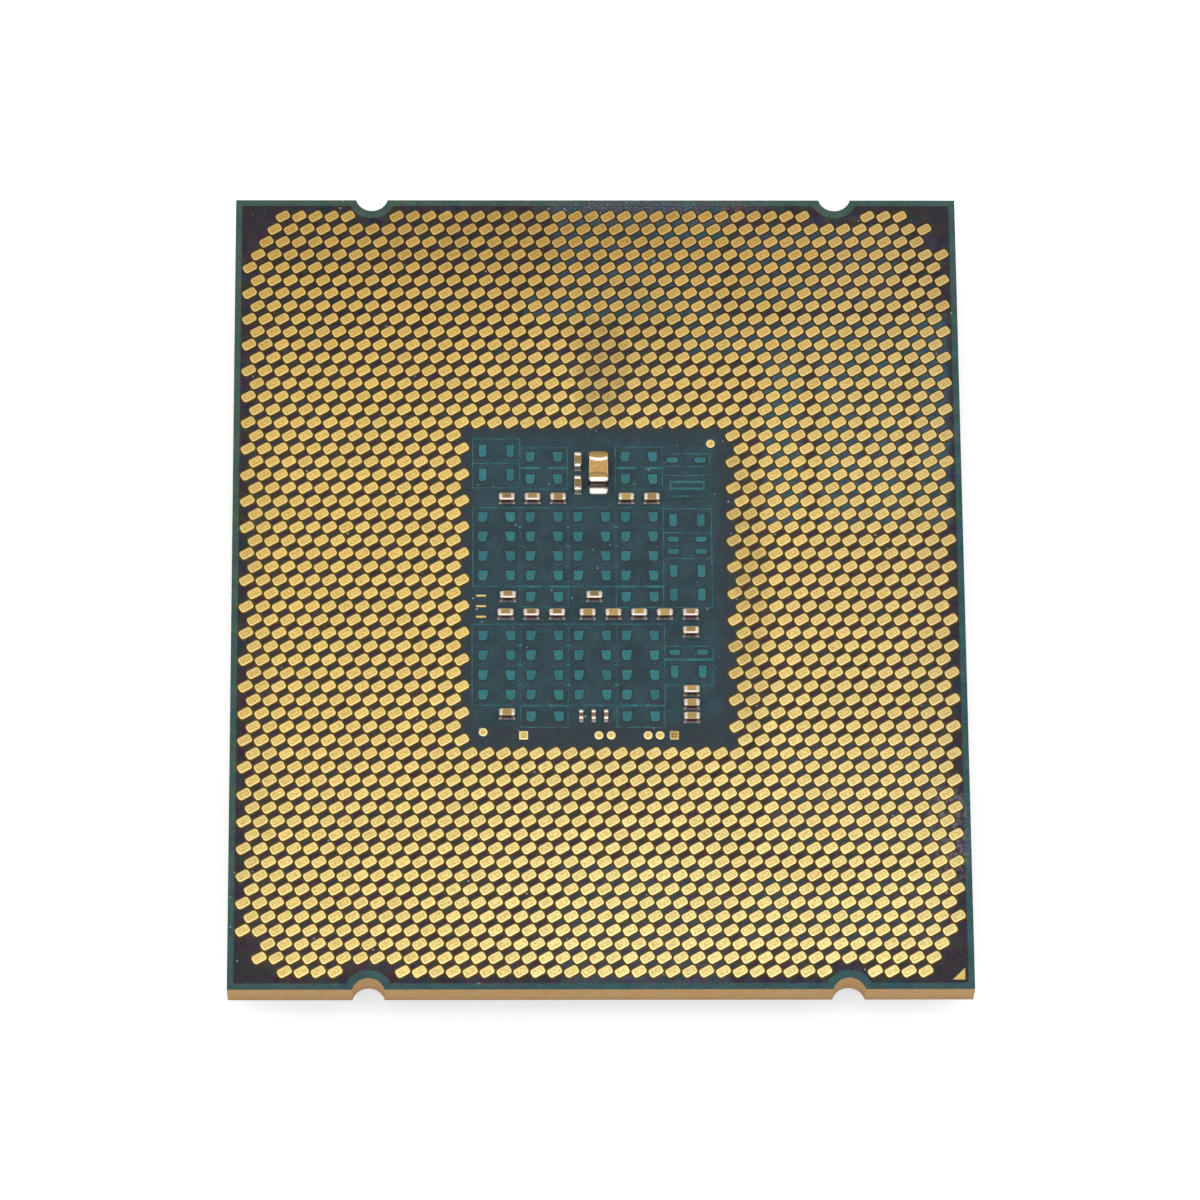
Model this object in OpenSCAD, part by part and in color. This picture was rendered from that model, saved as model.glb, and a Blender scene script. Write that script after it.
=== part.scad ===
// Land-grid processor package, lying on its heat-spreading lid with the lands facing up.
// Millimetres. +Z is up, +X runs across the short side, and Z = 0 is the lid's contact face.

/* [Laminate] */
// Width of the laminate, along X
package_w = 45; // [44.5:0.25:48]
// Length of the laminate, along Y
package_l = 52.5; // [52:0.25:56]
// Thickness of the laminate
laminate_t = 1.9; // [1:0.1:2.6]

/* [Key notches] */
// Radius of a key notch
notch_r = 1.02; // [0.6:0.02:1.2]
// How far a notch's centre lies outside the laminate's end
notch_offset = 0.28; // [0.1:0.02:0.5]
// Distance of the left notches from the middle
notch_left = 14; // [13.8:0.05:14.2]
// Distance of the right notches from the middle
notch_right = 14.95; // [14.8:0.05:15.1]
// Radius round a notch's centre that has no lands
notch_keepout = 1.9; // [1.78:0.02:2]

/* [Lands] */
// Distance between lands along a row
column_pitch = 1.016; // [1:0.002:1.03]
// Distance between rows
row_pitch = 0.8814; // [0.87:0.002:0.895]
// Bare strip kept between the outermost lands and the laminate's edge
land_margin = 0.4; // [0.3:0.05:0.43]
// Length of a land, across its round ends
land_l = 0.9; // [0.7:0.02:0.92]
// Width of a land, across its straight sides
land_w = 0.62; // [0.4:0.02:0.66]
// Thickness of a land
land_t = 0.03; // [0.02:0.01:0.08]
// Turn of each land's long axis away from X
land_turn = 30; // [20:1:40]
// Sites left out across the middle window
window_columns = 16; // [16:2:20]
// Rows left out along the middle window
window_rows = 24; // [24:2:28]

/* [Marks] */
// Leg of the corner triangle that marks the first land
corner_mark_leg = 0.75; // [0.5:0.05:0.9]
// Distance of that triangle from the laminate's edges
corner_mark_inset = 0.58; // [0.4:0.02:0.7]
// Diameter of a round test point, and side of a square one
test_point_d = 0.54; // [0.3:0.02:0.6]

/* [Capacitors] */
// Distance between neighbours in a row of capacitors
chip_pitch = 1.58; // [1.5:0.01:1.6]
// Length of a standard capacitor
chip_l = 1; // [0.8:0.05:1.1]
// Width of a standard capacitor
chip_w = 0.5; // [0.4:0.05:0.6]
// Height of a standard capacitor
chip_h = 0.5; // [0.3:0.05:0.6]
// Length of the large capacitor
large_l = 2; // [1.6:0.1:2.2]
// Width of the large capacitor
large_w = 1.25; // [1:0.05:1.4]
// Height of the large capacitor
large_h = 1.25; // [0.6:0.05:1.4]
// Length of a small capacitor
small_l = 0.6; // [0.5:0.02:0.7]
// Width and height of a small capacitor
small_w = 0.3; // [0.2:0.02:0.4]
// Share of a capacitor's length that each metal end covers
end_share = 0.24; // [0.15:0.01:0.35]
// How far the metal ends stand out from the ceramic
end_t = 0.015; // [0.005:0.005:0.03]
// Radius along the edges of the metal ends
end_ease = 0.06; // [0.02:0.01:0.08]
// Reach of the solder in front of a metal end, as a share of the height
solder_reach = 0.3; // [0.1:0.05:0.35]
// Height of the solder on a metal end, as a share of the height
solder_climb = 0.55; // [0.3:0.05:0.8]
// Place of the fold in the solder's hollow face, as a share of its reach and height
solder_hollow = 0.36; // [0.2:0.02:0.48]

/* [Empty sites] */
// Distance between the sites' columns
site_pitch = 2.933; // [2.9:0.01:3]
// Distance between the two pads of a site
pad_span = 1.71; // [1.6:0.01:1.8]
// Distance between the rows of a block of sites
site_row_pitch = 1.305; // [1.25:0.01:1.4]
// Width of a pad at its wider end
pad_w = 0.58; // [0.45:0.01:0.62]
// How much narrower a pad is at its other end
pad_taper = 0.16; // [0:0.02:0.24]
// Length of a pad
pad_l = 0.65; // [0.4:0.05:0.75]
// Width of a narrow pad
narrow_pad_w = 0.46; // [0.3:0.02:0.55]
// Length of a narrow pad
narrow_pad_l = 0.82; // [0.6:0.02:0.9]
// Width of a low pad
low_pad_w = 0.7; // [0.5:0.02:0.8]
// Length of a low pad
low_pad_l = 0.34; // [0.2:0.02:0.4]
// Height of a pad under the solder mask
pad_t = 0.02; // [0.01:0.01:0.05]

/* [Lid] */
// Width of the lid's flange
flange_w = 39; // [37:0.5:40]
// Length of the lid's flange
flange_l = 47; // [45:0.5:48]
// Thickness of the flange
flange_t = 1.1; // [0.8:0.05:1.4]
// Width of the flange across its two side ears
ear_span = 42.6; // [41.5:0.1:43.5]
// Length of an ear
ear_l = 26; // [20:0.5:30]
// Width of the raised contact block
block_w = 36.5; // [34:0.5:36.5]
// Length of the raised contact block
block_l = 41; // [38:0.5:43]
// Height of the contact block below the flange
block_h = 1.95; // [1.5:0.05:2.4]
// Corner radius of the contact block
block_corner_r = 2.5; // [1.5:0.25:4]
// Radius along the contact block's edges
block_edge_r = 0.5; // [0.2:0.05:0.8]
// Corner radius of the flange
flange_corner_r = 1.2; // [0.6:0.1:2]
// Depth of the pocket over the chip
pocket_depth = 1.05; // [0.95:0.05:1.25]
// Width of the pocket
pocket_w = 31; // [26:0.5:33]
// Length of the pocket
pocket_l = 37; // [30:0.5:39]
// Diameter of the lid's vent hole
vent_d = 0.9; // [0.5:0.1:1.2]

/* [Chip stack] */
// Width of the silicon chip
die_w = 17.6; // [12:0.2:22]
// Length of the silicon chip
die_l = 20.2; // [14:0.2:28]
// Thickness of the silicon chip
die_t = 0.77; // [0.6:0.01:0.8]
// Height of the bumps under the chip, filled by the underfill
bump_gap = 0.08; // [0.05:0.01:0.1]
// How far the underfill spreads past the chip
underfill_margin = 1; // [0.5:0.1:2]
// Thickness of the lid's adhesive
sealant_t = 0.15; // [0.1:0.01:0.25]
// Distance of the adhesive from the flange's edges
sealant_inset = 0.6; // [0.3:0.1:1.2]

/* [Hidden] */
// Faces round a full circle, for drawing only
$fn = 64;
// Overlap that lets one cut run clear of a face
clear = 1;

// Sideways shift of each row from the middle, in pitches: odd rows one way and even rows the other
row_shift = 0.25;

// Heights of the stack, from the lid's contact face up
flange_z = block_h;
seat_z = flange_z + flange_t;
pocket_z = seat_z - pocket_depth;
lid_side_z = seat_z + sealant_t;
die_top_z = lid_side_z - bump_gap;
die_z = die_top_z - die_t;
land_side_z = lid_side_z + laminate_t;

// Lattice sites that fit on the laminate, an odd number across it and an even number of rows
edge_gap = land_margin + land_l / 2;
land_columns = 2 * floor((package_w / 2 - edge_gap) / column_pitch - row_shift) + 1;
land_rows = 2 * floor((package_l / 2 - edge_gap) / row_pitch + 0.5);
// Sites left out at each end of the outermost rows, from the end row inwards
corner_gaps = [2, 1, 1];
// The four key notches as [X, Y] of their centres
notch_centres = [for (x = [-notch_left, notch_right], side = [-1, 1])
    [x, side * (package_l / 2 + notch_offset)]];
LAND_FIELDS = ["north_lands", "south_lands", "west_lands", "east_lands"];

// Places in the window, from the package's middle: rows of capacitors by their first X and their Y
upper_row_y = 5.85;
upper_left_x = -5.6;
upper_right_x = 1.75;
middle_row_y = -0.7;
middle_left_x = -5.55;
middle_right_x = -0.25;
main_row_y = -1.87;
main_left_x = -5.7;
main_right_x = -0.67;
// The column on the right, and the stack of three at its foot
side_x = 5.65;
side_upper_y = -3.05;
side_stack_y = -6.95;
side_stack_pitch = 0.875;
// The single capacitors
lower_x = -5.62;
lower_y = -8.46;
upright_x = -1.22;
upright_y = 8.34;
large_x = 0.05;
large_y = 7.55;
small_row_y = -8.55;
small_left_x = -1.1;
small_pitch = 0.76;
// Capacitors as [name, X, Y, turn, length, width, height]
CAPACITORS = concat(
    chips("upper_capacitor", concat(
        along_x(upper_left_x, upper_row_y, chip_pitch, 3),
        along_x(upper_right_x, upper_row_y, chip_pitch, 2)), 0),
    chips("middle_capacitor", [[middle_left_x, middle_row_y], [middle_right_x, middle_row_y]], 0),
    chips("main_capacitor", concat(
        along_x(main_left_x, main_row_y, chip_pitch, 3),
        along_x(main_right_x, main_row_y, chip_pitch, 5)), 0),
    chips("side_capacitor", concat(
        [[side_x, side_upper_y]],
        down_y(side_x, side_stack_y, side_stack_pitch, 3)), 0),
    chips("lower_capacitor", [[lower_x, lower_y]], 0),
    chips("upright_capacitor", down_y(upright_x, upright_y, chip_pitch, 2), 90),
    [["large_capacitor", large_x, large_y, 90, large_l, large_w, large_h]],
    small_chips("small_capacitor", along_x(small_left_x, small_row_y, small_pitch, 3), 90)
);

// Bare gold points: one in each of two corners of the window, and a row along its lower edge
corner_points = [[7, 9.58], [-7.08, -9.62]];
point_row_y = -9.83;
round_point_x = [-0.03, 0.72, 2.97, 3.7];
square_point_x = [-4.62, 4.57];

// Empty capacitor sites: the first column's X, the first row of each block, and the odd rows
first_site_x = -6.24;
block_rows = 4;
block_tops_y = [4.65, -3.25];
extra_row_drop = 1.42;
head_row_y = 8.7;
head_row_pitch = 1.5;
left_narrow_y = 9.1;
left_narrow_pitch = 1.62;
right_narrow_y = [4.43, 1.03, -0.55, -5.65];
right_low_y = [8.47, 3.15, 2.33, -4.37];
// Columns of sites, from left to right
main_columns = [0, 1, 2, 3];
inner_columns = [1, 3];
left_column = [0];
right_column = [4];

function along_x(x, y, pitch, count) = [for (i = [0 : count - 1]) [x + i * pitch, y]];
function down_y(x, y, pitch, count) = [for (i = [0 : count - 1]) [x, y - i * pitch]];
function numbered(name, places, turn, size) = [for (i = [0 : len(places) - 1])
    [str(name, "_", i + 1), places[i].x, places[i].y, turn, size[0], size[1], size[2]]];
function chips(name, places, turn) = numbered(name, places, turn, [chip_l, chip_w, chip_h]);
function small_chips(name, places, turn) = numbered(name, places, turn, [small_l, small_w, small_w]);

// The land lattice: rows count from the +Y end, and odd rows are shifted by half a pitch
function shift_of(row) = row % 2 == 0 ? -row_shift : row_shift;
function site_x(row, column) = (column - (land_columns - 1) / 2 + shift_of(row)) * column_pitch;
function site_y(row) = ((land_rows - 1) / 2 - row) * row_pitch;
function corner_gap(end_row) = end_row < len(corner_gaps) ? corner_gaps[end_row] : 0;
function clear_of_corner(row, column) =
    min(column, land_columns - 1 - column) >= corner_gap(min(row, land_rows - 1 - row));
function clear_of_notches(place) = min([for (n = notch_centres) norm(place - n)]) > notch_keepout;
function beside_window(x) = abs(x) > window_columns / 2 * column_pitch;
function past_window(y) = abs(y) > window_rows / 2 * row_pitch;
function field_of(place) =
    past_window(place.y) ? (place.y > 0 ? "north_lands" : "south_lands") :
    beside_window(place.x) ? (place.x < 0 ? "west_lands" : "east_lands") : "window";
function land_places(field) = [
    for (row = [0 : land_rows - 1], column = [0 : land_columns - 1])
    let (place = [site_x(row, column), site_y(row)])
    if (field_of(place) == field && clear_of_corner(row, column) && clear_of_notches(place)) place
];

// Flat outline with round corners
module round_outline(w, l, r) {
    square([w - 2 * r, l], center = true);
    square([w, l - 2 * r], center = true);
    for (x = [-1, 1], y = [-1, 1])
        translate([x * (w / 2 - r), y * (l / 2 - r)])
            circle(r);
}

// Half of a slab's section, with its outer lower edge rounded
module rounded_section(half_w, h, r) {
    translate([0, r])
        square([half_w, h - r]);
    square([half_w - r, r]);
    translate([half_w - r, r])
        circle(r);
}

// Slab with round corners whose lower edges are rounded too
module eased_slab(w, l, h, corner_r, edge_r) {
    for (turn = [0, 90])
        rotate(turn)
            rotate([90, 0, 0])
                linear_extrude((turn == 0 ? l : w) - 2 * corner_r, center = true)
                    for (side = [0, 1])
                        mirror([side, 0])
                            rounded_section((turn == 0 ? w : l) / 2, h, edge_r);
    for (x = [-1, 1], y = [-1, 1])
        translate([x * (w / 2 - corner_r), y * (l / 2 - corner_r), 0])
            rotate_extrude()
                intersection() {
                    rounded_section(corner_r, h, edge_r);
                    square([corner_r, h]);
                }
}

module laminate() {
    color("darkslategray")
        translate([0, 0, lid_side_z])
            difference() {
                translate([-package_w / 2, -package_l / 2, 0])
                    cube([package_w, package_l, laminate_t]);
                for (n = notch_centres)
                    translate([n.x, n.y, -clear])
                        cylinder(h = laminate_t + 2 * clear, r = notch_r);
            }
}

// One land: a flat bar with straight sides and round ends
module land() {
    intersection() {
        translate([-land_l / 2, -land_w / 2, 0])
            cube([land_l, land_w, land_t]);
        translate([0, 0, -land_t])
            cylinder(h = 3 * land_t, d = land_l);
    }
}

module land_field(field) {
    color("goldenrod")
        for (place = land_places(field))
            translate([place.x, place.y, land_side_z])
                rotate(land_turn)
                    land();
}

module first_land_mark() {
    leg = corner_mark_leg;
    color("gold")
        translate([package_w / 2 - corner_mark_inset, corner_mark_inset - package_l / 2, land_side_z])
            linear_extrude(land_t)
                polygon([[0, 0], [0, leg], [-leg, 0]]);
}

module test_points() {
    half = test_point_d / 2;
    color("gold") {
        for (place = concat(corner_points, [for (x = round_point_x) [x, point_row_y]]))
            translate([place.x, place.y, land_side_z])
                cylinder(h = land_t, d = test_point_d);
        for (x = square_point_x)
            translate([x - half, point_row_y - half, land_side_z])
                cube([test_point_d, test_point_d, land_t]);
    }
}

// The two pads of each empty site, in the given columns and rows, with their slanted sides facing
module site_pads(columns, rows, w, l, taper) {
    for (column = columns, y = rows, side = [0, 1])
        translate([first_site_x + column * site_pitch, y, land_side_z])
            mirror([side, 0])
                translate([-pad_span / 2, 0, 0])
                    linear_extrude(pad_t)
                        polygon([[-w / 2, l / 2], [-w / 2, -l / 2], [w / 2 - taper, -l / 2], [w / 2, l / 2]]);
}

module empty_pads() {
    color("teal") {
        for (top_y = block_tops_y) {
            last_y = top_y - (block_rows - 1) * site_row_pitch;
            block_y = [for (i = [0 : block_rows - 1]) top_y - i * site_row_pitch];
            site_pads(main_columns, block_y, pad_w, pad_l, pad_taper);
            site_pads(inner_columns, [last_y - extra_row_drop], pad_w, pad_l, pad_taper);
        }
        site_pads(inner_columns, [head_row_y, head_row_y - head_row_pitch], pad_w, pad_l, pad_taper);
        left_y = [left_narrow_y, left_narrow_y - left_narrow_pitch];
        site_pads(left_column, left_y, narrow_pad_w, narrow_pad_l, 0);
        site_pads(right_column, right_narrow_y, narrow_pad_w, narrow_pad_l, 0);
        site_pads(right_column, right_low_y, low_pad_w, low_pad_l, 0);
    }
}

// Moves to a capacitor's place on the land side and turns its length along X
module at_capacitor(c) {
    translate([c[1], c[2], land_side_z])
        rotate(c[3])
            children();
}

// Ceramic block whose metal ends wrap round it with eased edges
module capacitor(c) {
    length = c[4];
    width = c[5];
    height = c[6];
    end_l = length * end_share;
    color("peru")
        at_capacitor(c) {
            translate([-length / 2 + end_l / 2, -width / 2 + end_t, end_t])
                cube([length - end_l, width - 2 * end_t, height - 2 * end_t]);
            for (side = [-1, 1])
                translate([side * (length - end_l) / 2, 0, height / 2])
                    rotate([90, 0, 90])
                        linear_extrude(end_l, center = true)
                            round_outline(width, height, end_ease);
        }
}

// A fillet of solder in front of each metal end, with a hollow face
module solder_fillet(width, reach, climb) {
    rotate([90, 0, 0])
        linear_extrude(width, center = true)
            polygon([[0, 0], [reach, 0], [reach * solder_hollow, climb * solder_hollow], [0, climb]]);
}

module capacitor_solder() {
    color("silver")
        for (c = CAPACITORS)
            at_capacitor(c)
                for (side = [0, 1])
                    mirror([side, 0])
                        translate([c[4] / 2, 0, 0])
                            solder_fillet(c[5] - 2 * end_ease, c[6] * solder_reach, c[6] * solder_climb);
}

module heat_spreader() {
    ear_w = (ear_span - flange_w) / 2 + flange_corner_r;
    vent_place = [pocket_w / 2 - 2 * vent_d, pocket_l / 2 - 2 * vent_d];
    color("lightgray")
        difference() {
            union() {
                eased_slab(block_w, block_l, block_h + flange_t / 2, block_corner_r, block_edge_r);
                translate([0, 0, flange_z])
                    linear_extrude(flange_t) {
                        round_outline(flange_w, flange_l, flange_corner_r);
                        round_outline(ear_span, ear_l, flange_corner_r);
                    }
            }
            translate([0, 0, pocket_z])
                linear_extrude(pocket_depth + clear)
                    round_outline(pocket_w, pocket_l, block_corner_r);
            translate([vent_place.x, vent_place.y, -clear])
                cylinder(h = pocket_z + 2 * clear, d = vent_d);
        }
}

module lid_adhesive() {
    outer_w = flange_w - 2 * sealant_inset;
    outer_l = flange_l - 2 * sealant_inset;
    inner_w = pocket_w + 2 * sealant_inset;
    inner_l = pocket_l + 2 * sealant_inset;
    color("dimgray")
        translate([0, 0, seat_z])
            linear_extrude(sealant_t)
                difference() {
                    round_outline(outer_w, outer_l, flange_corner_r);
                    round_outline(inner_w, inner_l, block_corner_r);
                }
}

// A flat layer of the chip stack, centred on the package
module layer(w, l, z, t) {
    translate([-w / 2, -l / 2, z])
        cube([w, l, t]);
}

module silicon_chip() {
    color("slategray")
        layer(die_w, die_l, die_z, die_t);
}

module thermal_solder() {
    color("gainsboro")
        layer(die_w, die_l, pocket_z, die_z - pocket_z);
}

module underfill() {
    color("saddlebrown")
        layer(die_w + 2 * underfill_margin, die_l + 2 * underfill_margin, die_top_z, bump_gap);
}

laminate();
for (field = LAND_FIELDS)
    land_field(field);
first_land_mark();
test_points();
empty_pads();
for (c = CAPACITORS)
    capacitor(c);
capacitor_solder();
heat_spreader();
lid_adhesive();
silicon_chip();
thermal_solder();
underfill();
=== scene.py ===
# Land-grid processor package lying on its lid with the lands up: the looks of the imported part.
# Blender works in metres. Sizes of the package are written in millimetres, and MM makes metres of them.
import math

import bpy
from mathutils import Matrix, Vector


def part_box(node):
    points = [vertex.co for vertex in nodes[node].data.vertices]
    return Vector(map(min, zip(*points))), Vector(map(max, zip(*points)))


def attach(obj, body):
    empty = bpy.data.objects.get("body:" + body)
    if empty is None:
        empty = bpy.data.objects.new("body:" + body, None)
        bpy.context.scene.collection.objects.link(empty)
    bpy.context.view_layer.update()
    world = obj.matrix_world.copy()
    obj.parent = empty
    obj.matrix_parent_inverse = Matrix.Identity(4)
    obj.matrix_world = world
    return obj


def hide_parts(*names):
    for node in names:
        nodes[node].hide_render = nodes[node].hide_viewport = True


MM = 0.001
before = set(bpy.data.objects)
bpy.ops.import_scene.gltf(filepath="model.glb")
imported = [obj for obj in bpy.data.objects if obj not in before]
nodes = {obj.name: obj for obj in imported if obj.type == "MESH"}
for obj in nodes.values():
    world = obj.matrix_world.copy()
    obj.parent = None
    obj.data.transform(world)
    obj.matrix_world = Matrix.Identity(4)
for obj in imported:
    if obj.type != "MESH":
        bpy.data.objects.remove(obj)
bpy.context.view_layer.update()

# Sizes of the carrier board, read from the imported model
board_low, board_high = (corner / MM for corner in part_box("laminate"))
BOARD_W = board_high.x - board_low.x
BOARD_L = board_high.y - board_low.y
BOARD_T = board_high.z - board_low.z
LAND_SIDE = board_high.z
LID_SIDE = board_low.z
NOTCH_R = 1.02
NOTCH_CENTRES = [(x, side * (BOARD_L / 2 + 0.28)) for x in (-14.0, 14.95) for side in (-1, 1)]

# The land lattice: rows from the +Y end, odd rows shifted by half a pitch
COLUMN_PITCH = 1.016
ROW_PITCH = 0.8814
LAND_COLUMNS = 43
LAND_ROWS = 58
WINDOW_HALF_W = 8 * COLUMN_PITCH
WINDOW_HALF_L = 12 * ROW_PITCH
NOTCH_KEEPOUT = 1.9
CORNER_GAPS = (2, 1, 1)
LAND_L = 0.858
LAND_W = 0.562
LAND_R = 0.17
LAND_T = 0.03
LAND_TURN = math.radians(30)

# Test points in the window: the diameter of the round ones, the side and corner radius of the square ones
TEST_POINT = 0.54
SQUARE_R = 0.03

# Camera at the photograph's place, found from the board's corners
CAMERA_PLACE = (-8.244, -189.268, 455.34)
CAMERA_TURN = (22.707, -0.897, -0.393)
CAMERA_LENS = 238.73


def show(thing):
    bpy.context.scene.collection.objects.link(thing)


def make_camera():
    data = bpy.data.cameras.new("photo_camera")
    data.sensor_width = 36
    data.lens = CAMERA_LENS
    data.clip_start = 0.01
    data.clip_end = 50
    camera = bpy.data.objects.new("photo_camera", data)
    camera.location = Vector(CAMERA_PLACE) * MM
    camera.rotation_euler = [math.radians(a) for a in CAMERA_TURN]
    show(camera)
    bpy.context.scene.camera = camera


make_camera()


def paint(code):
    """Linear colour of a six-digit sRGB code."""
    parts = [int(code[i:i + 2], 16) / 255 for i in (0, 2, 4)]
    return [c / 12.92 if c <= 0.04045 else ((c + 0.055) / 1.055) ** 2.4 for c in parts] + [1.0]


# Shared helper for every node tree
class Nodes:
    """Adds and links nodes in one tree."""

    def __init__(self, tree):
        self.tree = tree

    def put(self, socket, value):
        if isinstance(value, bpy.types.NodeSocket):
            self.tree.links.new(value, socket)
        else:
            socket.default_value = value

    def add(self, kind, inputs=None, **settings):
        """Adds a node. Inputs are given by name or by place, as a value or as another node's socket."""
        node = self.tree.nodes.new(kind)
        for name, value in settings.items():
            setattr(node, name, value)
        usable = [s for s in node.inputs if s.enabled]
        for key, value in (inputs or {}).items():
            socket = usable[key] if isinstance(key, int) else next(s for s in usable if s.name == key)
            self.put(socket, value)
        return node

    def out(self, kind, inputs=None, **settings):
        """Adds a node and returns its first output in use."""
        node = self.add(kind, inputs, **settings)
        return next(s for s in node.outputs if s.enabled)

    def math(self, operation, *values):
        return self.out("ShaderNodeMath", dict(enumerate(values)), operation=operation)

    def plus(self, a, b):
        return self.math("ADD", a, b)

    def minus(self, a, b):
        return self.math("SUBTRACT", a, b)

    def times(self, first, *others):
        """Product of two or more values, from the left."""
        for other in others:
            first = self.math("MULTIPLY", first, other)
        return first

    def abs(self, value):
        return self.math("ABSOLUTE", value)

    def vector_math(self, operation, *values):
        return self.out("ShaderNodeVectorMath", dict(enumerate(values)), operation=operation)

    def vector(self, **parts):
        return self.out("ShaderNodeCombineXYZ", parts)

    def xyz(self, vector):
        """The three coordinates of a vector."""
        return self.add("ShaderNodeSeparateXYZ", {0: vector}).outputs


# Surface finishes
class Finish(Nodes):
    """A procedural material. Its patterns are measured in millimetres on the piece's own coordinates."""

    def __init__(self, name):
        self.material = bpy.data.materials.new(name)
        self.material.use_nodes = True
        super().__init__(self.material.node_tree)
        self.shader = self.tree.nodes["Principled BSDF"]
        place = self.tree.nodes.new("ShaderNodeTexCoord").outputs["Object"]
        self.mm = self.vector_math("MULTIPLY", place, (1 / MM,) * 3)
        self.x, self.y, self.z = self.xyz(self.mm)

    def set(self, **sockets):
        """Sets the shader's sockets, with spaces written as underscores."""
        for name, value in sockets.items():
            self.put(self.shader.inputs[name.replace("_", " ")], value)

    def noise(self, per_mm, detail=2.0, rough=0.5, stretch=(1, 1, 1), output=0):
        where = self.vector_math("MULTIPLY", self.mm, tuple(per_mm * s for s in stretch))
        return self.add("ShaderNodeTexNoise", {
            "Vector": where, "Scale": 1.0, "Detail": detail, "Roughness": rough}).outputs[output]

    def cells(self, per_mm, output="Distance"):
        where = self.vector_math("MULTIPLY", self.mm, (per_mm,) * 3)
        return self.add("ShaderNodeTexVoronoi", {"Vector": where, "Scale": 1.0}).outputs[output]

    def specks(self, per_mm, size):
        """1 on round specks of many sizes, one to a cell, and 0 between them."""
        return self.math("LESS_THAN", self.cells(per_mm), self.times(self.cells(per_mm, "Color"), size))

    def step(self, value, low, high, to_low=0.0, to_high=1.0):
        """Runs smoothly from one value to another as the input goes from low to high."""
        return self.out("ShaderNodeMapRange", {
            "Value": value, "From Min": low, "From Max": high, "To Min": to_low, "To Max": to_high,
        }, interpolation_type="SMOOTHSTEP")

    def mix(self, factor, a, b, blend="MIX"):
        """Mixes two colours, each given as a code or as a socket."""
        a, b = (paint(colour) if isinstance(colour, str) else colour for colour in (a, b))
        return self.out("ShaderNodeMix", {"Factor": factor, "A": a, "B": b},
                        data_type="RGBA", blend_type=blend)

    def between(self, factor, a, b):
        return self.out("ShaderNodeMix", {"Factor": factor, "A": a, "B": b}, data_type="FLOAT")

    def fade(self, colour, code, value, low, high, most=1.0):
        """Fades a colour towards a second one as the value goes from low to high."""
        return self.mix(self.step(value, low, high, 0.0, most), colour, code)

    def shade(self, colour, value, low, high, to_low, to_high):
        """Multiplies a colour by a grey that runs from one level to another as the value goes up."""
        level = self.step(value, low, high, to_low, to_high)
        grey = self.out("ShaderNodeCombineColor", {0: level, 1: level, 2: level})
        return self.mix(1.0, colour, grey, "MULTIPLY")

    def attribute(self, name):
        return self.add("ShaderNodeAttribute", attribute_name=name).outputs["Fac"]

    def own_place(self):
        """Millimetres from the middle of the one repeated part, before it was set in its place."""
        own = self.add("ShaderNodeAttribute", attribute_name="own_place").outputs["Vector"]
        return self.vector_math("MULTIPLY", own, (1 / MM,) * 3)

    def other_tone(self, factor):
        """A second random value for each repeated part, drawn from its tone."""
        return self.math("FRACT", self.times(self.attribute("tone"), factor))

    def inset(self, length, width, radius):
        """Distance in from the edge of a round-cornered plate, by its own coordinates."""
        past = self.vector_math("SUBTRACT", self.vector_math("ABSOLUTE", self.own_place()),
                                (length / 2 - radius, width / 2 - radius, 0))
        x, y, _ = self.xyz(past)
        corner = self.math("SQRT", self.plus(*[
            self.math("POWER", self.math("MAXIMUM", side, 0.0), 2.0) for side in (x, y)]))
        flat = self.math("MINIMUM", self.math("MAXIMUM", x, y), 0.0)
        return self.minus(radius, self.plus(corner, flat))

    def facing_up(self):
        """1 where the surface is level, 0 where it stands upright."""
        true_normal = self.add("ShaderNodeNewGeometry").outputs["True Normal"]
        return self.abs(self.xyz(true_normal)["Z"])

    def off_centre(self, x, y):
        """Distance from a point on the board."""
        flat = self.vector_math("MULTIPLY", self.mm, (1, 1, 0))
        return self.out("ShaderNodeVectorMath", {0: flat, 1: (x, y, 0)}, operation="DISTANCE")

    def spot(self, x, y, half_w, half_l):
        """Soft oval patch: 1 in its middle and 0 outside it."""
        across = self.math("DIVIDE", self.minus(self.x, x), half_w)
        along = self.math("DIVIDE", self.minus(self.y, y), half_l)
        flat = self.plus(self.math("POWER", across, 2.0), self.math("POWER", along, 2.0))
        return self.step(flat, 0.0, 1.0, 1.0, 0.0)

    def bar(self, x0, x1, y0, y1, soft):
        """Soft-edged rectangle: 1 inside and 0 outside."""
        inside = []
        for place, low, high in ((self.x, x0, x1), (self.y, y0, y1)):
            off = self.abs(self.minus(place, (low + high) / 2))
            half = (high - low) / 2
            inside.append(self.step(off, half - soft, half + soft, 1.0, 0.0))
        return self.times(*inside)

    def bump(self, height, depth_mm, strength=1.0):
        self.set(Normal=self.out("ShaderNodeBump", {
            "Strength": strength, "Distance": depth_mm * MM, "Height": height}))


# The mask in the window and the plain strip round it, as (x0, x1, y0, y1)
WINDOW = (-7.6, 7.4, -9.0, 10.1)
SKIRT = (-8.6, 8.6, -11.0, 11.0)

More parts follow.
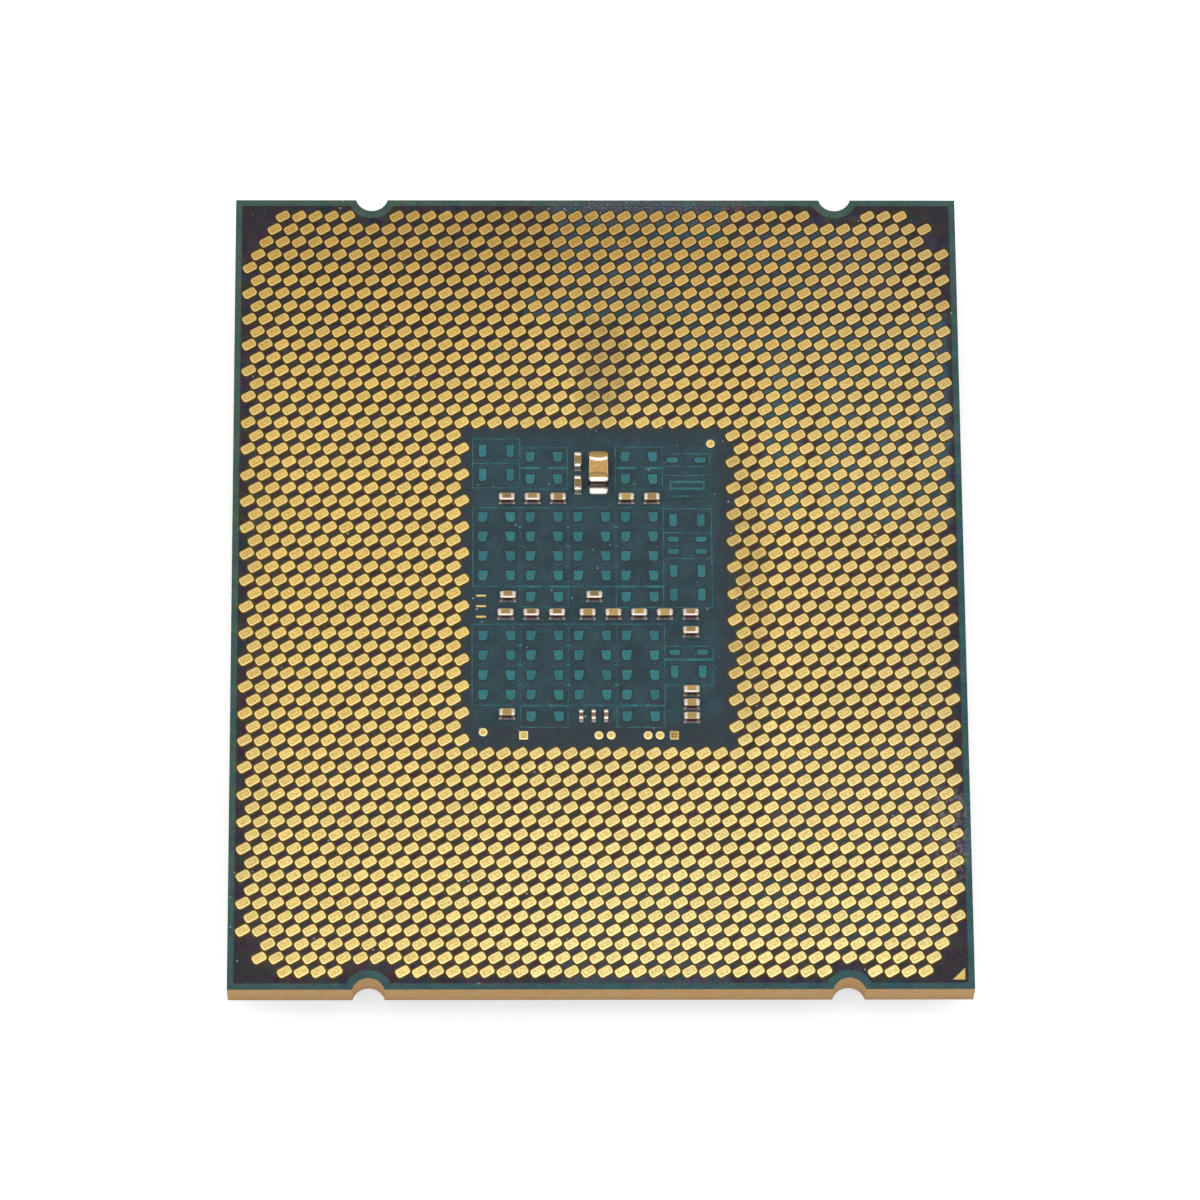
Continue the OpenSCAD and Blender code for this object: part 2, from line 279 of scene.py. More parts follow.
# Places where the copper under the mask is cut away and the mask shows slate or teal, as (x0, x1, y0, y1)
SLATE_PLACES = [
    (13.4, 18.9, 19.1, 24.4), (10.2, 20.8, -17.4, -10.0),
    (-2.5, 7.7, -26.4, -18.0), (8.3, 20.8, -23.4, -18.8),
]
TEAL_PLACES = [
    (-2.7, 7.9, 20.2, 26.4), (-4.5, 7.8, 17.9, 20.0),
    (8.9, 13.6, 19.1, 24.4), (5.3, 21.8, 15.5, 18.0),
]
COLUMN_PLACES = [
    (10.3, 12.7, 4.2, 15.2), (13.7, 16.4, 4.2, 15.2),
    (16.8, 18.9, 4.2, 15.2), (19.7, 21.8, 4.2, 18.5),
]
MASK_SHINE = 0.22
EDGE_LAYERS = 8


def field_colour(f, to_edge, corner, skirt):
    """Nearly black mask over copper, with its window, darker corners and edges, and the cut-away places."""
    copper = f.fade("342b30", "2a232b", f.y, 10, 22)
    copper = f.fade(copper, "372c33", f.y, -6, -16)
    copper = f.fade(copper, "362d39", f.x, 4, 14, 0.6)
    copper = f.mix(f.spot(0, 12, 12, 6), copper, "353039")
    copper = f.shade(copper, f.noise(0.35, 3), 0.25, 0.75, 0.92, 1.08)
    field = f.mix(skirt, copper, "2c373e")
    window = f.fade("243a42", "2c4850", f.noise(0.9, 3), 0.3, 0.7)
    field = f.mix(f.bar(*WINDOW, 0.5), field, window)
    field = f.mix(f.step(corner, 3.2, 4.4, 0.8, 0.0), field, "292029")
    field = f.mix(f.step(to_edge, 0.8, 1.4, 0.7, 0.0), field, "2a222a")

    # The cut-away places are streaked along the rows of lands
    streak = f.step(f.noise(1.0, 2, 0.6, (0.2, 1.15, 0.0)), 0.36, 0.6, 0.45, 1.0)
    for places, code in ((SLATE_PLACES, "3b404e"), (TEAL_PLACES, "304855"), (COLUMN_PLACES, "345363")):
        shown = 0.0
        for place in places:
            shown = f.math("MAXIMUM", shown, f.bar(*place, 0.3))
        field = f.mix(f.times(shown, streak), field, code)
    return field


def bordered_colour(f, field, to_edge):
    """The field with its green copper-free border along the outline and round the notches."""
    border = f.step(to_edge, 0.33, 0.44, 1.0, 0.0)
    for x, y in NOTCH_CENTRES:
        ring = f.step(f.off_centre(x, y), NOTCH_R + 0.42, NOTCH_R + 0.55, 1.0, 0.0)
        border = f.math("MAXIMUM", border, ring)
    green = f.fade("3e584d", "2f5357", f.minus(f.x, f.y), -30, 30)
    green = f.shade(green, f.noise(0.8, 3), 0.25, 0.75, 0.82, 1.12)
    return f.mix(border, field, green)


def worn_colour(f, mask, grain, corner, skirt):
    """The mask with pale scuffs near one edge, dust, and fine unevenness of colour."""
    scuff = f.times(f.spot(21.2, -16.2, 1.7, 4.6), f.step(f.noise(3, 4, 0.7), 0.42, 0.62))
    mask = f.mix(f.times(scuff, 0.75), mask, "847b88")
    sparse = f.step(f.noise(0.7, 1), 0.4, 0.48, 0.0, 0.6)
    mask = f.mix(f.times(f.specks(1.4, 0.115), sparse), mask, "b4c0bf")
    dusty = f.spot(3.5, 25.6, 9, 1.6)
    film = f.step(f.noise(2.5, 3), 0.35, 0.65, 0.2, 0.75)
    mask = f.mix(f.times(dusty, film), mask, "4b4450")
    mask = f.mix(f.times(f.specks(9, 0.42), dusty, 0.5), mask, "a0a3a8")
    mask = f.fade(mask, "3b3044", f.noise(6, 2), 0.5, 0.75, 0.3)
    mask = f.fade(mask, "2c5449", f.noise(7.5, 2), 0.52, 0.75, 0.35)
    mask = f.shade(mask, grain, 0.2, 0.8, 0.76, 1.24)
    mask = f.mix(0.016, mask, f.noise(9, 2, output="Color"), "LINEAR_LIGHT")
    calm = f.step(corner, 2.5, 4.4, 0.25, 1.0)
    uneven = f.times(calm, f.math("MULTIPLY_ADD", skirt, -0.028, 0.035))
    return f.mix(uneven, mask, f.noise(1.3, 2, output="Color"), "LINEAR_LIGHT")


def cut_edge_colour(f):
    """Straight pressed layers of resin and glass, with thin darker seams between them."""
    height = f.math("DIVIDE", f.minus(f.z, LID_SIDE), BOARD_T)
    edge = f.fade("b7915d", "caa671", f.noise(5, 3, 0.6, (0.6, 0.6, 2)), 0.3, 0.7)
    edge = f.fade(edge, "c48b4c", f.noise(0.6, 3, 0.6, (1, 1, 2)), 0.45, 0.7, 0.4)
    edge = f.fade(edge, "b59a78", f.noise(0.45, 2, 0.5, (1, 1, 3)), 0.52, 0.75, 0.45)
    from_seam = f.abs(f.minus(f.math("FRACT", f.times(height, EDGE_LAYERS)), 0.5))
    seam = f.times(f.step(from_seam, 0.03, 0.12, 0.4, 0.0), f.step(f.noise(1.5, 2), 0.3, 0.6))
    edge = f.mix(seam, edge, "8c6a44")
    edge = f.mix(f.step(height, 0.0, 0.45, 0.5, 0.0), edge, "a47850")
    edge = f.fade(edge, "4a3a2e", height, 0.04, 0.0, 0.8)
    return f.fade(edge, "2f4a45", height, 0.965, 0.985)


def board_finish():
    """Dark solder mask on both faces, and the cut edge of the layered laminate."""
    f = Finish("solder_mask_and_cut_edge")
    grain = f.noise(9, 2)
    to_side = f.minus(BOARD_W / 2, f.abs(f.x))
    to_end = f.minus(BOARD_L / 2, f.abs(f.y))
    to_edge = f.math("MINIMUM", to_side, to_end)
    corner = f.plus(to_side, to_end)
    skirt = f.bar(*SKIRT, 0.35)
    mask = bordered_colour(f, field_colour(f, to_edge, corner, skirt), to_edge)
    mask = worn_colour(f, mask, grain, corner, skirt)

    level = f.step(f.facing_up(), 0.5, 0.6)
    f.set(Base_Color=f.mix(level, cut_edge_colour(f), mask))
    f.set(Roughness=f.between(level, 0.75, f.step(f.noise(3, 3), 0.2, 0.8, 0.34, 0.5)))
    f.set(Specular_IOR_Level=MASK_SHINE)
    f.bump(f.plus(f.times(grain, 0.4), f.noise(1.2, 3)), 0.012, 0.5)
    return f.material


def gold_finish(name, bottom, middle, top):
    """Soft gold over nickel, with a painted reflection: bright at the -Y end of the board and browner towards
    the +Y end. It is also paler at the lower right and yellower on the left.
    """
    f = Finish(name)
    # Painted reflection: the bright bottom colour at -Y runs to the darker top colour at +Y
    colour = f.fade(bottom, middle, f.y, -27, 4)
    colour = f.fade(colour, top, f.y, 8, 26)
    right = f.times(f.step(f.x, 6, 22, 0.0, 0.4), f.step(f.y, -22, -8))
    colour = f.mix(right, colour, "d8c58c")
    colour = f.fade(colour, "e6c05c", f.x, 0, -16, 0.35)
    f.set(Base_Color=colour, Metallic=1.0)
    f.set(Roughness=f.step(f.noise(4, 3), 0.25, 0.75, 0.26, 0.38))
    f.bump(f.noise(14, 2), 0.004, 0.5)
    return f, colour


# Darker places in the field of lands: middle x and y, half width, half length and strength. The first four
# are tarnish; the last is painted shade over the top-left, going with the gold's painted darkening towards
# +Y.
STAINS_AND_SHADE = [
    (0.4, 14.6, 2.5, 6.4, 1.0), (1.6, 17, 5, 6.5, 0.5), (8.8, 0, 2.6, 15, 0.75),
    (-1, -12.2, 8, 3, 0.35), (-8, 27, 24, 9, 0.65),
]


def land_finish(name, length, width, radius, rim_width=0.08, core_brown="d3a551", worn=0.5, probe_pitch=None):
    """Worn gold of a contact: tarnished and painted darker in places, with a painted highlight at its edge,
    scrubbed and browned in its middle.
    """
    f, colour = gold_finish(name, "fbec9f", "edcf7c", "c49b4f")
    colour = f.shade(colour, f.attribute("tone"), 0.0, 1.0, 0.91, 1.02)
    colour = f.shade(colour, f.abs(f.x), 18.5, 21.8, 1.0, 0.88)
    # Tarnish, and painted shade over the top-left of the field
    stain_and_shade = 0.0
    for *patch, strength in STAINS_AND_SHADE:
        stain_and_shade = f.math("MAXIMUM", stain_and_shade, f.times(f.spot(*patch), strength))
    stain_and_shade = f.times(stain_and_shade, f.step(f.noise(1.1, 3), 0.3, 0.65, 0.6, 1.1))
    colour = f.shade(colour, stain_and_shade, 0.0, 1.1, 1.0, 0.56)

    # The middle: blotches, a grid of probe marks if there is one, and a darker outline
    inset = f.inset(length, width, radius)
    core_edge = rim_width + 0.05
    core_gold = f.mix(f.step(f.noise(6, 2), 0.36, 0.62, worn - 0.45, worn), colour, core_brown)
    core_gold = f.fade(core_gold, "a87a3c", f.noise(13, 2), 0.55, 0.72, 0.3)
    core_gold = f.shade(core_gold, f.noise(8, 3, 0.7), 0.28, 0.72, 0.78, 1.25)
    if probe_pitch:
        for place in f.xyz(f.own_place())[:2]:
            cell = f.math("FRACT", f.math("DIVIDE", place, probe_pitch))
            groove = f.step(f.abs(f.minus(cell, 0.5)), 0.3, 0.42, 0.65, 0.0)
            core_gold = f.mix(groove, core_gold, "8a6630")
    from_outline = f.abs(f.minus(inset, core_edge))
    outline = f.times(f.step(from_outline, 0.0, 0.04, 0.45, 0.0), f.step(f.other_tone(7.3), 0.2, 1.0))
    core_gold = f.mix(outline, core_gold, "b08238")

    # Painted highlight: the rim is paler, more so towards the -Y end
    rim_highlight_gold = f.mix(f.step(f.y, -22, 20, 0.35, 0.25), colour, "fbecbe")
    f.set(Base_Color=f.mix(f.step(inset, rim_width, core_edge), rim_highlight_gold, core_gold))
    return f.material


def resin_finish():
    """Bare resin in the mask openings: golden brown, darker towards the +Y end."""
    f = Finish("bare_resin")
    colour = f.fade("634a03", "463403", f.y, 4, 22)
    f.set(Base_Color=f.shade(colour, f.noise(4, 3), 0.3, 0.7, 0.82, 1.14))
    f.set(Roughness=0.6, Specular_IOR_Level=0.05)
    f.bump(f.noise(9, 3), 0.006, 0.5)
    return f.material


def masked_pad_finish():
    """Copper pad seen as flat teal through the solder mask."""
    f = Finish("masked_copper_pad")
    colour = f.mix(f.noise(1.4, 2), "27696d", "34787f")
    colour = f.shade(colour, f.attribute("tone"), 0.0, 1.0, 0.9, 1.1)
    f.set(Base_Color=f.shade(colour, f.noise(9, 2), 0.25, 0.75, 0.8, 1.2))
    f.set(Roughness=f.step(f.noise(3, 2), 0.2, 0.8, 0.36, 0.5), Specular_IOR_Level=MASK_SHINE)
    f.bump(f.noise(5, 2), 0.01, 0.4)
    return f.material


def mask_line_finish(name, dark, light):
    """Narrow strip of mask that shows another colour than the mask beside it."""
    f = Finish(name)
    f.set(Base_Color=f.fade(dark, light, f.noise(1.6, 2), 0.3, 0.7))
    f.set(Roughness=0.45, Specular_IOR_Level=MASK_SHINE)
    f.bump(f.noise(6, 2), 0.004, 0.3)
    return f.material


def ceramic_finish(name, dark, light, pale_from, pale, glint_share):
    """Mottled fired ceramic with a painted highlight along its long edges and painted shade on its sides. The
    share with a glint has a painted white highlight along its front edge.
    """
    f = Finish(name)
    colour = f.mix(f.attribute("tone"), dark, light)
    colour = f.fade(colour, "7d5a32", f.noise(6, 3), 0.4, 0.7, 0.35)
    colour = f.shade(colour, f.noise(22, 2), 0.2, 0.8, 0.9, 1.1)
    across = f.attribute("across")
    # Painted highlight along the long edges, and a painted white highlight along the front edge of the
    # glinting share
    colour = f.fade(colour, "f0e2c4", f.abs(across), pale_from, 0.96, pale)
    has_glint = f.step(f.other_tone(5.7), 1 - glint_share, 1.02 - glint_share)
    colour = f.mix(f.times(f.step(across, -0.44, -0.58), has_glint), colour, "fdf3ea")
    # Painted shade on the sides, which do not face up
    f.set(Base_Color=f.mix(f.step(f.facing_up(), 0.15, 0.6), "54301c", colour))
    f.set(Roughness=f.step(f.noise(8, 2), 0.2, 0.8, 0.35, 0.5), Specular_IOR_Level=0.4)
    f.bump(f.noise(20, 2), 0.004, 0.5)
    return f.material


def seat_finish():
    """Mask edge and flux round a soldered part: dull pinkish grey, paler at the two pads."""
    f = Finish("soldered_seat")
    colour = f.fade("5c5257", "8d8086", f.noise(7, 3), 0.35, 0.7)
    f.set(Base_Color=f.fade(colour, "c9bfbf", f.abs(f.attribute("along")), 0.62, 0.8, 0.5))
    f.set(Roughness=f.step(f.noise(9, 2), 0.2, 0.8, 0.35, 0.55))
    f.bump(f.noise(10, 3), 0.01, 0.6)
    return f.material


def tin_finish(name, light, dark, rough, ripple=0.6, level=None, upright=None):
    """Bright tin, reflowed and slightly frosted. With level and upright colours: a painted highlight on
    slopes leaning to -Y, a darker painted reflection elsewhere, and painted shade on its sides.
    """
    f = Finish(name)
    colour = f.fade(light, dark, f.noise(6, 3), 0.3, 0.7)
    if level:
        # Painted highlight where the surface leans to -Y, darker painted reflection elsewhere, painted shade
        # on the upright sides
        lean = f.xyz(f.add("ShaderNodeNewGeometry").outputs["Normal"])["Y"]
        colour = f.mix(f.step(lean, -0.06, -0.2), level, colour)
        colour = f.fade(colour, upright, f.facing_up(), 0.35, 0.15)
    f.set(Base_Color=colour, Metallic=1.0)
    f.set(Roughness=f.step(f.noise(10, 3), 0.25, 0.75, rough - 0.07, rough + 0.1))
    f.bump(f.noise(12, 3), 0.008, ripple)
    return f.material


def nickel_finish():
    """Satin nickel plate on copper, with a blasted grain and faint handling scratches."""
    f = Finish("satin_nickel_plate")
    colour = f.mix(f.noise(0.12, 3), "918f89", "a5a39c")
    hairline = f.step(f.noise(2.2, 3, 0.6, (0.06, 2.4, 1)), 0.62, 0.74)
    crossing = f.step(f.noise(2.0, 3, 0.6, (1.8, 0.08, 1)), 0.64, 0.76)
    marks = f.math("MAXIMUM", hairline, crossing)
    f.set(Base_Color=f.mix(f.times(marks, 0.2), colour, "c4c2bb"), Metallic=1.0)
    satin = f.step(f.noise(1.2, 3), 0.2, 0.8, 0.32, 0.44)
    f.set(Roughness=f.plus(satin, f.times(marks, -0.06)))
    f.bump(f.plus(f.noise(9, 3, 0.6), f.times(marks, -0.5)), 0.01, 0.6)
    return f.material


def plain_finish(name, light, dark, per_mm, rough, metallic=0.0):
    """Mottled finish for the layers that stay inside or show only as an edge."""
    f = Finish(name)
    f.set(Base_Color=f.fade(light, dark, f.noise(per_mm, 3), 0.3, 0.7), Metallic=metallic)
    f.set(Roughness=f.step(f.noise(per_mm * 2, 2), 0.2, 0.8, rough - 0.06, rough + 0.06))
    f.bump(f.noise(per_mm * 3, 3), 0.015, 0.5)
    return f.material


GOLD_LAND = land_finish("gold_land", LAND_L, LAND_W, LAND_R)
GOLD_DOT = land_finish("gold_dot", TEST_POINT, TEST_POINT, TEST_POINT / 2, 0.11, "c99450", 0.64)
GOLD_SQUARE = land_finish("gold_square", TEST_POINT, TEST_POINT, SQUARE_R, 0.06, "b98d4e", 0.65)
PROBED_SQUARE = land_finish("probed_gold_square", TEST_POINT, TEST_POINT, SQUARE_R, 0.0, probe_pitch=0.18)
GOLD_PLAIN = gold_finish("gold_mark", "d2bb6c", "d2b468", "c19c58")[0].material
BARE_RESIN = resin_finish()
MASKED_PAD = masked_pad_finish()
# Dark ring round each masked pad: painted shade
PAD_SHADE = mask_line_finish("pad_gap", "262f33", "2e393d")
MASK_LINE = mask_line_finish("mask_line", "2a4c53", "37727a")
FAINT_LINE = mask_line_finish("faint_mask_line", "2a474f", "2f5a62")
BOLD_LINE = mask_line_finish("bold_mask_line", "2b6068", "34757c")
CERAMICS = {
    "chip": ceramic_finish("chip_ceramic", "826a3a", "bc9c52", 0.75, 0.45, 0.55),
    "upright": ceramic_finish("upright_chip_ceramic", "826a3a", "a98b4c", 0.8, 0.4, 0.0),
    "small": ceramic_finish("small_ceramic", "70503f", "8c6a4e", 0.9, 0.3, 0.0),
    "large": ceramic_finish("large_ceramic", "cb9d58", "d0a35c", 0.9, 0.35, 0.0),
}
END_TIN = tin_finish("capacitor_end_tin", "ece1d5", "d3c4b4", 0.22)
LARGE_TIN = tin_finish("large_end_tin", "f4ece4", "e4d8ca", 0.2, 0.2, "b7965c", "5a4844")
SOLDER = tin_finish("reflowed_solder", "e2dad2", "cabdb2", 0.24)
SEAT = seat_finish()

CAD_FINISHES = {
    "laminate": board_finish(),
    "first_land_mark": GOLD_PLAIN,
    "heat_spreader": nickel_finish(),
    "lid_adhesive": plain_finish("black_lid_adhesive", "23211f", "33302d", 2.5, 0.6),
    "silicon_chip": plain_finish("bare_silicon", "4c4f57", "5c6069", 0.8, 0.2, 0.6),
    "thermal_solder": plain_finish("indium_solder", "a9a8a4", "bfbdb8", 3.0, 0.35, 1.0),
    "underfill": plain_finish("underfill_resin", "2a2320", "3a302a", 4.0, 0.4),
}
for node_name, material in CAD_FINISHES.items():
    mesh = nodes[node_name].data
    mesh.materials.clear()
    mesh.materials.append(material)


# Shapes made by geometry nodes
class Shape(Nodes):
    """A geometry-node tree with named inputs, which always ends in a realised mesh with one material."""

    def __init__(self, name, lengths, shares=(), counts=()):
        """Takes the inputs' names. Lengths are marked as distances, which run_shape turns into metres."""
        super().__init__(bpy.data.node_groups.new(name, "GeometryNodeTree"))
        self.socket("Geometry", "Geometry")
        for label in lengths:
            self.socket(label, "Float").subtype = "DISTANCE"
        for label in shares:
            self.socket(label, "Float")
        for label in (*counts, "Seed"):
            self.socket(label, "Int")
        self.socket("Material", "Material")
        self.socket("Geometry", "Geometry", "OUTPUT")
        self.given = self.tree.nodes.new("NodeGroupInput").outputs

    def socket(self, label, kind, in_out="INPUT"):
        return self.tree.interface.new_socket(label, in_out=in_out, socket_type="NodeSocket" + kind)

    def position(self):
        return self.out("GeometryNodeInputPosition")

    def moved(self, geometry, **where):
        return self.out("GeometryNodeSetPosition", {"Geometry": geometry, **where})

    def keep(self, geometry, name, value, data_type="FLOAT", domain="POINT"):
        """Stores a value on the geometry for its finish to read."""
        return self.out("GeometryNodeStoreNamedAttribute", {
            "Geometry": geometry, "Name": name, "Value": value}, data_type=data_type, domain=domain)

    def point_value(self, name):
        """A number that the points bring with them."""
        return self.out("GeometryNodeInputNamedAttribute", {"Name": name}, data_type="FLOAT")

    def place_and_finish(self, part):
        """Sets a copy of the part on each point, turned as the point says, with its own random tone."""
        part = self.keep(part, "own_place", self.position(), "FLOAT_VECTOR")
        placed = self.out("GeometryNodeInstanceOnPoints", {
            "Points": self.given["Geometry"], "Instance": part,
            "Rotation": self.vector(Z=self.point_value("turn"))})
        tone = self.out("FunctionNodeRandomValue", {
            "Min": 0.0, "Max": 1.0, "ID": self.out("GeometryNodeInputIndex"), "Seed": self.given["Seed"],
        }, data_type="FLOAT")
        self.finish(self.keep(placed, "tone", tone, domain="INSTANCE"))

    def finish(self, geometry):
        whole = self.out("GeometryNodeRealizeInstances", {"Geometry": geometry})
        done = self.out("GeometryNodeSetMaterial", {"Geometry": whole, "Material": self.given["Material"]})
        end = self.tree.nodes.new("NodeGroupOutput")
        self.tree.links.new(done, end.inputs["Geometry"])

    def keep_share(self, geometry, name, axis, size):
        """Stores a coordinate as a share of half the size, from -1 to 1."""
        where = self.xyz(self.position())[axis]
        return self.keep(geometry, name, self.math("DIVIDE", where, self.times(size, 0.5)))

    def smooth(self, geometry, on=True):
        return self.out("GeometryNodeSetShadeSmooth", {"Geometry": geometry, "Shade Smooth": on})

    def join(self, *parts):
        node = self.add("GeometryNodeJoinGeometry")
        for part in parts:
            self.tree.links.new(part, node.inputs[0])
        return node.outputs[0]

    def closed(self, geometry):
        """Merges the points that lie on each other."""
        return self.out("GeometryNodeMergeByDistance", {"Geometry": geometry, "Distance": 1e-7})

    def flat_outline(self):
        """Four-sided outline with round corners, which may be rounder at its foot, as a curve."""
        g = self.given
        sides = self.out("GeometryNodeCurvePrimitiveQuadrilateral", {
            "Height": g["Length"], "Bottom Width": g["Bottom Width"],
            "Top Width": g["Top Width"], "Offset": g["Lean"]}, mode="TRAPEZOID")
        at_foot = self.math("LESS_THAN", self.xyz(self.position())["Y"], 0.0)
        extra = self.times(at_foot, self.minus(g["Foot Radius"], g["Corner Radius"]))
        return self.out("GeometryNodeFilletCurve", {
            "Curve": sides, "Count": g["Corner Cuts"], "Radius": self.plus(g["Corner Radius"], extra),
            "Limit Radius": True}, mode="POLY")

    def block_outline(self, radius, cuts, splits=0):
        """Cross-section of a block, width along X and height along Y, as a curve."""
        sides = self.out("GeometryNodeCurvePrimitiveQuadrilateral", {
            "Width": self.given["Width"], "Height": self.given["Height"]}, mode="RECTANGLE")
        rounded = self.out("GeometryNodeFilletCurve", {
            "Curve": sides, "Count": cuts, "Radius": radius, "Limit Radius": True}, mode="POLY")
        return self.out("GeometryNodeSubdivideCurve", {"Curve": rounded, "Cuts": splits})

    def axis_line(self, start, end):
        """Straight curve along X."""
        return self.out("GeometryNodeCurvePrimitiveLine", {
            "Start": self.vector(X=start), "End": self.vector(X=end)}, mode="POINTS")

    def sweep(self, path, outline, **scale):
        """Outline carried upright along a path, with its ends filled."""
        level = self.out("GeometryNodeSetCurveNormal", {"Curve": path}, mode="Z_UP")
        return self.out("GeometryNodeCurveToMesh", {
            "Curve": level, "Profile Curve": outline, "Fill Caps": True, **scale})


def plate_shape():
    """Flat plated pad: straight or leaning sides, round corners, and a rim that falls away to the edge."""
    s = Shape("plated_pad", counts=["Corner Cuts"], lengths=[
        "Bottom Width", "Top Width", "Lean", "Length", "Corner Radius", "Foot Radius",
        "Thickness", "Rim Width", "Rim Drop"])
    g = s.given
    base = s.out("GeometryNodeFillCurve", {"Curve": s.flat_outline()}, mode="NGONS")
    wall_h = s.minus(g["Thickness"], g["Rim Drop"])
    raised = s.add("GeometryNodeExtrudeMesh", {
        "Mesh": base, "Offset": (0, 0, 1), "Offset Scale": wall_h, "Individual": False}, mode="FACES")
    inset = s.add("GeometryNodeExtrudeMesh", {
        "Mesh": raised.outputs["Mesh"], "Selection": raised.outputs["Top"], "Offset": (0, 0, 1),
        "Offset Scale": 0.0, "Individual": False}, mode="FACES")
    shrink = {"Z": 1.0}
    for axis, size in (("X", "Top Width"), ("Y", "Length")):
        shrink[axis] = s.minus(1.0, s.math("DIVIDE", s.times(g["Rim Width"], 2.0), g[size]))
    crowned = s.moved(inset.outputs["Mesh"], Selection=inset.outputs["Top"],
                      Position=s.vector_math("MULTIPLY", s.position(), s.vector(**shrink)),
                      Offset=s.vector(Z=g["Rim Drop"]))
    under = s.out("GeometryNodeFlipFaces", {"Mesh": base})
    plate = s.keep_share(s.closed(s.join(under, crowned)), "along", "X", g["Top Width"])
    s.place_and_finish(s.smooth(plate, False))
    return s.tree


def opening_shape():
    """Thin eight-sided plate: two end sides, two long sides and four cut corners."""
    s = Shape("mask_opening", ["Length", "Width", "End Side", "Long Side", "Thickness"])
    g = s.given
    prism = s.add("GeometryNodeMeshCylinder", {
        "Vertices": 8, "Radius": 1.0, "Depth": g["Thickness"]}, fill_type="NGON").outputs["Mesh"]
    turned = s.out("GeometryNodeTransform", {"Geometry": prism, "Rotation": (0, 0, math.pi / 8)})
    place = s.xyz(s.position())
    at_end = s.math("GREATER_THAN", s.abs(place["X"]), s.abs(place["Y"]))
    corner = {"Z": s.math("MULTIPLY_ADD", g["Thickness"], 0.5, place["Z"])}
    for axis, end_size, other_size in (("X", "Length", "Long Side"), ("Y", "End Side", "Width")):
        more = s.minus(g[end_size], g[other_size])
        size = s.math("MULTIPLY_ADD", at_end, more, g[other_size])
        corner[axis] = s.times(s.math("SIGN", place[axis]), s.times(size, 0.5))
    s.place_and_finish(s.smooth(s.moved(turned, Position=s.vector(**corner)), False))
    return s.tree


def line_shape():
    """Flat strip along each drawn line."""
    s = Shape("mask_line", ["Width", "Height"])
    drawn = s.out("GeometryNodeMeshToCurve", {"Mesh": s.given["Geometry"]})
    strip = s.sweep(drawn, s.block_outline(0.0, 1), Scale=s.point_value("mitre"))
    s.finish(s.smooth(strip, False))
    return s.tree


def block_shape():
    """Ceramic body of a capacitor: a block with eased long edges."""
    s = Shape("capacitor_block", ["Length", "Width", "Height", "Edge"])
    g = s.given
    half = s.times(g["Length"], 0.5)
    body = s.sweep(s.axis_line(s.times(half, -1.0), half), s.block_outline(g["Edge"], 3))
    s.place_and_finish(s.smooth(s.keep_share(body, "across", "Y", g["Width"]), False))
    return s.tree


# Thickness of a capacitor's end cap along its length, from its inner edge, as shares
END_PROFILE = [(0.0, 0.35), (0.18, 0.76), (0.4, 1.0), (0.62, 0.96), (0.85, 0.62), (1.0, 0.0)]
END_RINGS = 11


def end_shape():
    """The two metal ends of a capacitor: swollen, rounded caps whose inner edge bows towards the middle."""
    s = Shape("capacitor_end", ["Length", "Width", "Height", "Edge", "Reach", "Bow"], ["Swell"], ["Splits"])
    g = s.given
    half = s.times(g["Length"], 0.5)
    inner = s.minus(half, g["Reach"])
    path = s.out("GeometryNodeResampleCurve", {
        "Curve": s.axis_line(inner, half), "Count": END_RINGS}, mode="COUNT")
    swell = s.add("ShaderNodeFloatCurve", {"Value": s.add("GeometryNodeSplineParameter").outputs["Factor"]})
    profile = swell.mapping.curves[0].points
    profile[0].location = END_PROFILE[0]
    profile[1].location = END_PROFILE[-1]
    for along, thick in END_PROFILE[1:-1]:
        profile.new(along, thick)
    swell.mapping.update()
    lost = s.times(s.minus(1.0, swell.outputs["Value"]), g["Swell"])
    cap = s.sweep(path, s.block_outline(g["Edge"], 4, g["Splits"]), Scale=s.minus(1.0, lost))

    place = s.xyz(s.position())
    side = s.math("DIVIDE", place["Y"], s.times(g["Width"], 0.5))
    bulge = s.minus(1.0, s.times(side, side))
    inward = s.minus(1.0, s.math("DIVIDE", s.minus(place["X"], inner), g["Reach"]))
    bowed = s.moved(cap, Offset=s.vector(X=s.times(bulge, inward, s.times(g["Bow"], -1.0))))
    other = s.out("GeometryNodeTransform", {"Geometry": bowed, "Rotation": (0, 0, math.pi)})
    s.place_and_finish(s.smooth(s.join(bowed, other)))
    return s.tree


def fillet_shape():
    """Hollow wedge of solder that climbs a capacitor's end, lower towards its sides."""
    s = Shape("solder_fillet", ["Width", "Reach", "Climb"])
    g = s.given
    block = s.add("GeometryNodeMeshCube", {
        "Size": (1, 2, 1), "Vertices X": 2, "Vertices Y": 11, "Vertices Z": 7}).outputs["Mesh"]
    place = s.xyz(s.position())
    out = s.plus(place["X"], 0.5)
    up = s.plus(place["Z"], 0.5)
    fall = s.minus(1.0, s.times(s.math("POWER", s.abs(place["Y"]), 10.0), 0.6))
    hollow = s.math("POWER", s.minus(1.0, up), 2.2)
    shaped = s.moved(block, Position=s.vector(
        X=s.times(out, hollow, s.times(fall, g["Reach"])),
        Y=s.times(place["Y"], s.times(g["Width"], 0.5)),
        Z=s.times(up, fall, g["Climb"])))
    s.place_and_finish(s.smooth(s.closed(shaped)))
    return s.tree


PLATE = plate_shape()
OPENING_PLATE = opening_shape()
LINE = line_shape()
BLOCK = block_shape()
END = end_shape()
FILLET = fillet_shape()


def points_mesh(name, places):
    """Bare points from (x, y, z, turn), for a tree to set its parts on."""
    mesh = bpy.data.meshes.new(name)
    mesh.from_pydata([Vector(p[:3]) * MM for p in places], [], [])
    turns = mesh.attributes.new("turn", "FLOAT", "POINT")
    turns.data.foreach_set("value", [p[3] for p in places])
    return mesh


